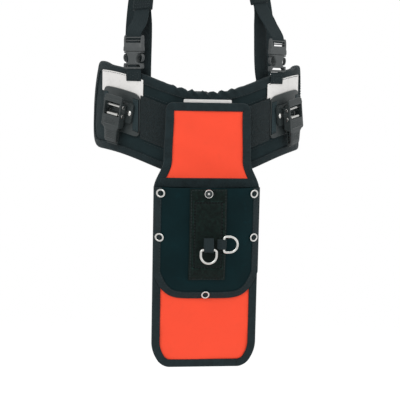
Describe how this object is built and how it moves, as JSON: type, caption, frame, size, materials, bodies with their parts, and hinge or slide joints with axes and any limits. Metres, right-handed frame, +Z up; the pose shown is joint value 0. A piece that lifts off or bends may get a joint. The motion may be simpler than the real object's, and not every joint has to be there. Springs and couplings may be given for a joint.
{
  "type": "safety harness vest",
  "caption": "Padded waist harness with buckled shoulder braces, hip lever clips and a hanging holster panel with a tool pocket and D-rings.",
  "frame": {"origin": "middle of the wearer's waist at belt height", "axes": "+Z up along the wearer, -Y towards the side that carries the holster, +X to the right when looking at the holster"},
  "size_m": [0.3224, 0.2939, 0.7975],
  "materials": {
    "pad_fabric": "woven, matte",
    "webbing": "woven webbing",
    "clip_plastic": "moulded, fine grain",
    "buckle_plastic": "moulded, satin",
    "steel": "polished",
    "coated_fabric": "coated, smooth",
    "pocket_leather": "smooth, slightly glossy"
  },
  "bodies": {
    "belt": {"belt_pad": "pad_fabric", "loop_band": "webbing", "rear_webbing_left": "webbing", "rear_webbing_right": "webbing", "rear_buckle_socket": "buckle_plastic", "rear_buckle_plug": "buckle_plastic", "rear_yoke": "webbing", "hanger_strap": "webbing", "side_plate_left": "clip_plastic", "keeper_front_left": "webbing", "keeper_rear_left": "webbing", "lever_base_left": "clip_plastic", "lever_pin_left": "steel", "rivet_front_left": "steel", "rivet_rear_left": "steel", "belt_tab_left": "webbing", "buckle_socket_left": "buckle_plastic", "buckle_plug_left": "buckle_plastic", "brace_left": "webbing", "inner_brace_left": "webbing", "side_plate_right": "clip_plastic", "keeper_front_right": "webbing", "keeper_rear_right": "webbing", "lever_base_right": "clip_plastic", "lever_pin_right": "steel", "rivet_front_right": "steel", "rivet_rear_right": "steel", "belt_tab_right": "webbing", "buckle_socket_right": "buckle_plastic", "buckle_plug_right": "buckle_plastic", "brace_right": "webbing", "inner_brace_right": "webbing"},
    "holster": {"holster_panel": "coated_fabric", "tool_pocket": "pocket_leather", "tool_sleeve": "webbing", "pocket_snap": "steel", "ring_tab_front": "webbing", "ring_tab_side": "webbing", "eyelet_top_left": "steel", "eyelet_top_right": "steel", "eyelet_low_left": "steel", "eyelet_low_right": "steel", "eyelet_bottom": "steel"},
    "ring_front": {"d_ring_front": "steel"},
    "ring_side": {"d_ring_side": "steel"},
    "lever_left": {"lever_left": "clip_plastic", "pawl_pin_left": "steel"},
    "pawl_left": {"pawl_left": "steel"},
    "ladder_left": {"ladder_strap_left": "clip_plastic"},
    "prong_front_left": {"buckle_prong_front_left": "buckle_plastic"},
    "prong_rear_left": {"buckle_prong_rear_left": "buckle_plastic"},
    "lever_right": {"lever_right": "clip_plastic", "pawl_pin_right": "steel"},
    "pawl_right": {"pawl_right": "steel"},
    "ladder_right": {"ladder_strap_right": "clip_plastic"},
    "prong_front_right": {"buckle_prong_front_right": "buckle_plastic"},
    "prong_rear_right": {"buckle_prong_rear_right": "buckle_plastic"}
  },
  "joints": [
    {"name": "holster_swing", "type": "hinge", "parent": "belt", "child": "holster", "pos_m": [0, -0.1433, 0.0205], "axis": [-1, 0, 0], "range_deg": [0, 80]},
    {"name": "ring_front_swing", "type": "hinge", "parent": "holster", "child": "ring_front", "pos_m": [0, -0.1843, -0.188], "axis": [-1, 0, 0], "range_deg": [0, 150]},
    {"name": "ring_side_swing", "type": "hinge", "parent": "holster", "child": "ring_side", "pos_m": [0.0215, -0.1843, -0.18], "axis": [0, 0, -1], "range_deg": [0, 85]},
    {"name": "lever_left_lift", "type": "hinge", "parent": "belt", "child": "lever_left", "pos_m": [-0.13221, -0.10319, 0.01129], "axis": [-0.7045, 0.6863, 0.1807], "range_deg": [0, 35], "stiffness_Nm_per_rad": 0.15, "springref_deg": -11.46},
    {"name": "pawl_left_turn", "type": "hinge", "parent": "lever_left", "child": "pawl_left", "pos_m": [-0.13389, -0.10155, -0.00149], "axis": [-0.7045, 0.6863, 0.1807], "range_deg": [0, 25], "stiffness_Nm_per_rad": 0.05, "springref_deg": -11.46},
    {"name": "ladder_left_slide", "type": "slide", "parent": "belt", "child": "ladder_left", "axis": [0.1295, -0.1261, 0.9835], "range_m": [-0.02, 0.008]},
    {"name": "prong_front_left_squeeze", "type": "slide", "parent": "belt", "child": "prong_front_left", "axis": [-0.8127, 0.5827, 0], "range_m": [0, 0.002], "stiffness_N_per_m": 500},
    {"name": "prong_rear_left_squeeze", "type": "slide", "parent": "belt", "child": "prong_rear_left", "axis": [0.8127, -0.5827, 0], "range_m": [0, 0.002], "stiffness_N_per_m": 500},
    {"name": "lever_right_lift", "type": "hinge", "parent": "belt", "child": "lever_right", "pos_m": [0.13221, -0.10319, 0.01129], "axis": [-0.7045, -0.6863, -0.1807], "range_deg": [0, 35], "stiffness_Nm_per_rad": 0.15, "springref_deg": -11.46},
    {"name": "pawl_right_turn", "type": "hinge", "parent": "lever_right", "child": "pawl_right", "pos_m": [0.13389, -0.10155, -0.00149], "axis": [-0.7045, -0.6863, -0.1807], "range_deg": [0, 25], "stiffness_Nm_per_rad": 0.05, "springref_deg": -11.46},
    {"name": "ladder_right_slide", "type": "slide", "parent": "belt", "child": "ladder_right", "axis": [-0.1295, -0.1261, 0.9835], "range_m": [-0.02, 0.008]},
    {"name": "prong_front_right_squeeze", "type": "slide", "parent": "belt", "child": "prong_front_right", "axis": [0.8127, 0.5827, 0], "range_m": [0, 0.002], "stiffness_N_per_m": 500},
    {"name": "prong_rear_right_squeeze", "type": "slide", "parent": "belt", "child": "prong_rear_right", "axis": [-0.8127, -0.5827, 0], "range_m": [0, 0.002], "stiffness_N_per_m": 500}
  ]
}
